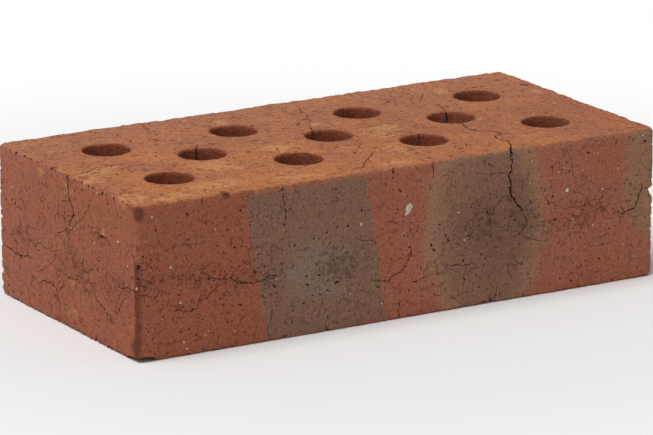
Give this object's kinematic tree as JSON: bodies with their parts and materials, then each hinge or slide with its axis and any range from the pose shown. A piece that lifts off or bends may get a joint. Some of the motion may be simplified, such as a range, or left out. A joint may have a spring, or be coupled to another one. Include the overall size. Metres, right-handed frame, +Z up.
{
  "type": "perforated clay brick",
  "caption": "Fired clay brick with rounded upright edges and staggered round holes through its beds, laid in mortar to build walls.",
  "frame": {"origin": "centre of the lower bed face, which the brick lies on", "axes": "+X along the length, +Y across the width towards the back stretcher face, +Z up through the holes"},
  "size_m": [0.25, 0.12, 0.065],
  "materials": {
    "fired_clay": "matte"
  },
  "bodies": {
    "root": {"clay_brick": "fired_clay"}
  },
  "joints": []
}
